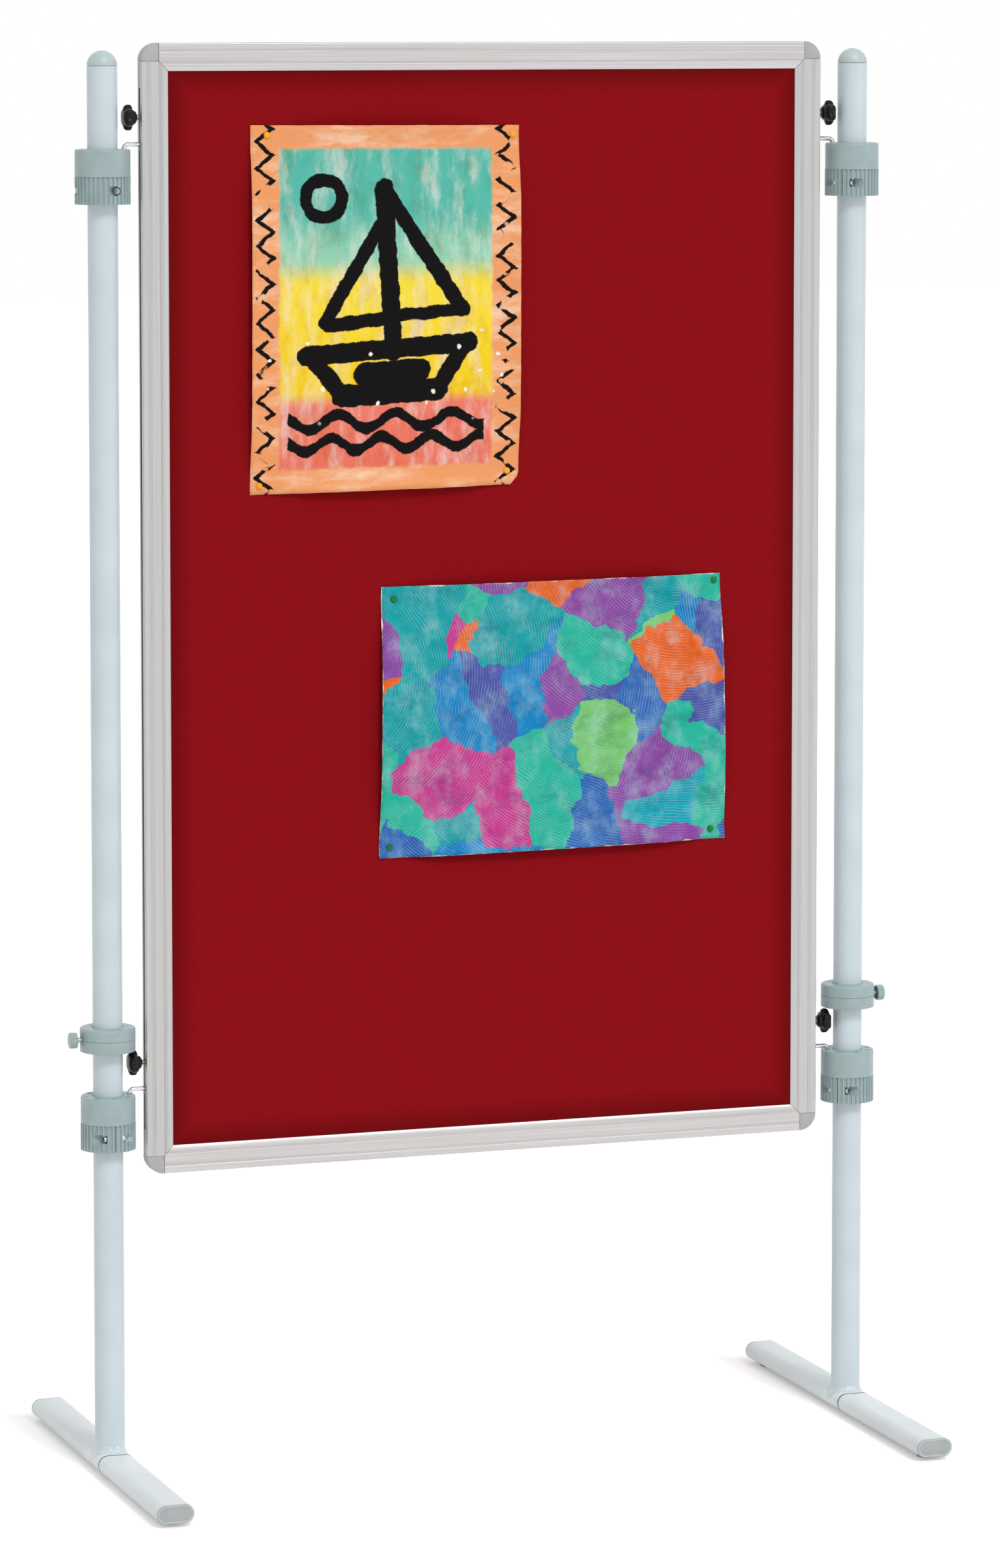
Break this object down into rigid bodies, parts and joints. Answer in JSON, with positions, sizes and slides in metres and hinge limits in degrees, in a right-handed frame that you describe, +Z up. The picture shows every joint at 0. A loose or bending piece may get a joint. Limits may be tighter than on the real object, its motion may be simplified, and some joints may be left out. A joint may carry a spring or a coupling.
{
  "type": "mobile pinboard",
  "caption": "Felt pinboard in a slotted aluminium frame, hung by hooks from clamp collars on round posts with flat oval feet.",
  "frame": {"origin": "on the floor, midway between the glides", "axes": "+X across the board to its right side seen from the front, +Y from the front of the board to its back, +Z up"},
  "size_m": [1.167, 0.624, 1.9],
  "materials": {
    "powder_coated_steel": "smooth satin powder coat",
    "pale_coated_steel": "smooth satin powder coat",
    "sage_plastic": "satin moulded plastic",
    "grey_plastic": "matt moulded plastic",
    "black_plastic": "glossy moulded plastic",
    "anodised_aluminium": "clear anodised, with fine lengthwise lines",
    "chromed_steel": "polished",
    "zinc_plated_steel": "bright zinc",
    "fibreboard": "raw",
    "red_felt": "short even pile",
    "warm_paper": "painted paper with round pin heads",
    "cool_paper": "painted paper with round pin heads"
  },
  "bodies": {
    "left_stand": {"left_post": "powder_coated_steel", "left_post_cap": "sage_plastic", "left_foot_rear": "pale_coated_steel", "left_foot_front": "pale_coated_steel", "left_foot_plug_front": "grey_plastic", "left_foot_plug_rear": "grey_plastic", "left_glide_front": "grey_plastic", "left_glide_rear": "grey_plastic"},
    "left_collars": {"upper_left_collar": "sage_plastic", "upper_left_collar_jaw": "sage_plastic", "upper_left_clamp_screw_a": "zinc_plated_steel", "upper_left_clamp_screw_b": "zinc_plated_steel", "lower_left_collar": "sage_plastic", "lower_left_collar_jaw": "sage_plastic", "lower_left_clamp_screw_a": "zinc_plated_steel", "lower_left_clamp_screw_b": "zinc_plated_steel"},
    "left_hooks": {"upper_left_hook_bracket": "chromed_steel", "lower_left_hook_bracket": "chromed_steel"},
    "upper_left_knob": {"upper_left_star_knob": "black_plastic"},
    "lower_left_knob": {"lower_left_star_knob": "black_plastic"},
    "left_stop_ring": {"left_stop_ring_lower": "sage_plastic", "left_stop_ring_upper": "sage_plastic"},
    "left_thumbscrew_body": {"left_thumbscrew": "sage_plastic"},
    "right_stand": {"right_post": "powder_coated_steel", "right_post_cap": "sage_plastic", "right_foot_rear": "pale_coated_steel", "right_foot_front": "pale_coated_steel", "right_foot_plug_front": "grey_plastic", "right_foot_plug_rear": "grey_plastic", "right_glide_front": "grey_plastic", "right_glide_rear": "grey_plastic"},
    "right_collars": {"upper_right_collar": "sage_plastic", "upper_right_collar_jaw": "sage_plastic", "upper_right_clamp_screw_a": "zinc_plated_steel", "upper_right_clamp_screw_b": "zinc_plated_steel", "lower_right_collar": "sage_plastic", "lower_right_collar_jaw": "sage_plastic", "lower_right_clamp_screw_a": "zinc_plated_steel", "lower_right_clamp_screw_b": "zinc_plated_steel"},
    "right_hooks": {"upper_right_hook_bracket": "chromed_steel", "lower_right_hook_bracket": "chromed_steel"},
    "upper_right_knob": {"upper_right_star_knob": "black_plastic"},
    "lower_right_knob": {"lower_right_star_knob": "black_plastic"},
    "right_stop_ring": {"right_stop_ring_lower": "sage_plastic", "right_stop_ring_upper": "sage_plastic"},
    "right_thumbscrew_body": {"right_thumbscrew": "sage_plastic"},
    "board": {"frame_rail_top": "anodised_aluminium", "frame_rail_bottom": "anodised_aluminium", "frame_rail_left": "anodised_aluminium", "frame_rail_right": "anodised_aluminium", "corner_cap_top_left": "grey_plastic", "corner_cap_top_right": "grey_plastic", "corner_cap_bottom_left": "grey_plastic", "corner_cap_bottom_right": "grey_plastic", "board_core": "fibreboard", "felt_front": "red_felt", "felt_back": "red_felt", "pinned_sheet_upper": "warm_paper", "pinned_sheet_lower": "cool_paper"}
  },
  "joints": [
    {"name": "board_height", "type": "slide", "parent": "left_stand", "child": "left_collars", "axis": [0, 0, 1], "range_m": [-0.35, 0.1]},
    {"name": "left_swing", "type": "hinge", "parent": "left_collars", "child": "left_hooks", "pos_m": [-0.5015, 0, 0.515], "axis": [0, 0, 1], "range_deg": [-35, 35]},
    {"name": "left_hook_slide", "type": "slide", "parent": "left_hooks", "child": "board", "axis": [0, 0, 1], "range_m": [-0.025, 0.04]},
    {"name": "right_hook_slide", "type": "slide", "parent": "board", "child": "right_hooks", "axis": [0, 0, 1], "range_m": [-0.04, 0.025]},
    {"name": "right_swing", "type": "hinge", "parent": "right_hooks", "child": "right_collars", "pos_m": [0.5015, 0, 0.515], "axis": [0, 0, 1], "range_deg": [-35, 35]},
    {"name": "right_height", "type": "slide", "parent": "right_collars", "child": "right_stand", "axis": [0, 0, 1], "range_m": [-0.1, 0.35]},
    {"name": "left_ring_slide", "type": "slide", "parent": "left_collars", "child": "left_stop_ring", "axis": [0, 0, 1], "range_m": [0, 1.08]},
    {"name": "left_thumbscrew_turn", "type": "hinge", "parent": "left_stop_ring", "child": "left_thumbscrew_body", "pos_m": [-0.5675, 0, 0.58465], "axis": [-1, 0, 0], "range_deg": [0, 360]},
    {"name": "upper_left_knob_turn", "type": "hinge", "parent": "left_hooks", "child": "upper_left_knob", "pos_m": [-0.48, 0, 1.8025], "axis": [-1, 0, 0], "range_deg": [0, 360]},
    {"name": "lower_left_knob_turn", "type": "hinge", "parent": "left_hooks", "child": "lower_left_knob", "pos_m": [-0.48, 0, 0.55], "axis": [-1, 0, 0], "range_deg": [0, 360]},
    {"name": "right_ring_slide", "type": "slide", "parent": "right_collars", "child": "right_stop_ring", "axis": [0, 0, 1], "range_m": [0, 1.08]},
    {"name": "right_thumbscrew_turn", "type": "hinge", "parent": "right_stop_ring", "child": "right_thumbscrew_body", "pos_m": [0.5675, 0, 0.58465], "axis": [1, 0, 0], "range_deg": [0, 360]},
    {"name": "upper_right_knob_turn", "type": "hinge", "parent": "right_hooks", "child": "upper_right_knob", "pos_m": [0.48, 0, 1.8025], "axis": [1, 0, 0], "range_deg": [0, 360]},
    {"name": "lower_right_knob_turn", "type": "hinge", "parent": "right_hooks", "child": "lower_right_knob", "pos_m": [0.48, 0, 0.55], "axis": [1, 0, 0], "range_deg": [0, 360]}
  ],
  "couplings": [
    {"joint": "right_hook_slide", "follows": "left_hook_slide", "ratio": -1},
    {"joint": "right_height", "follows": "board_height", "ratio": -1}
  ]
}
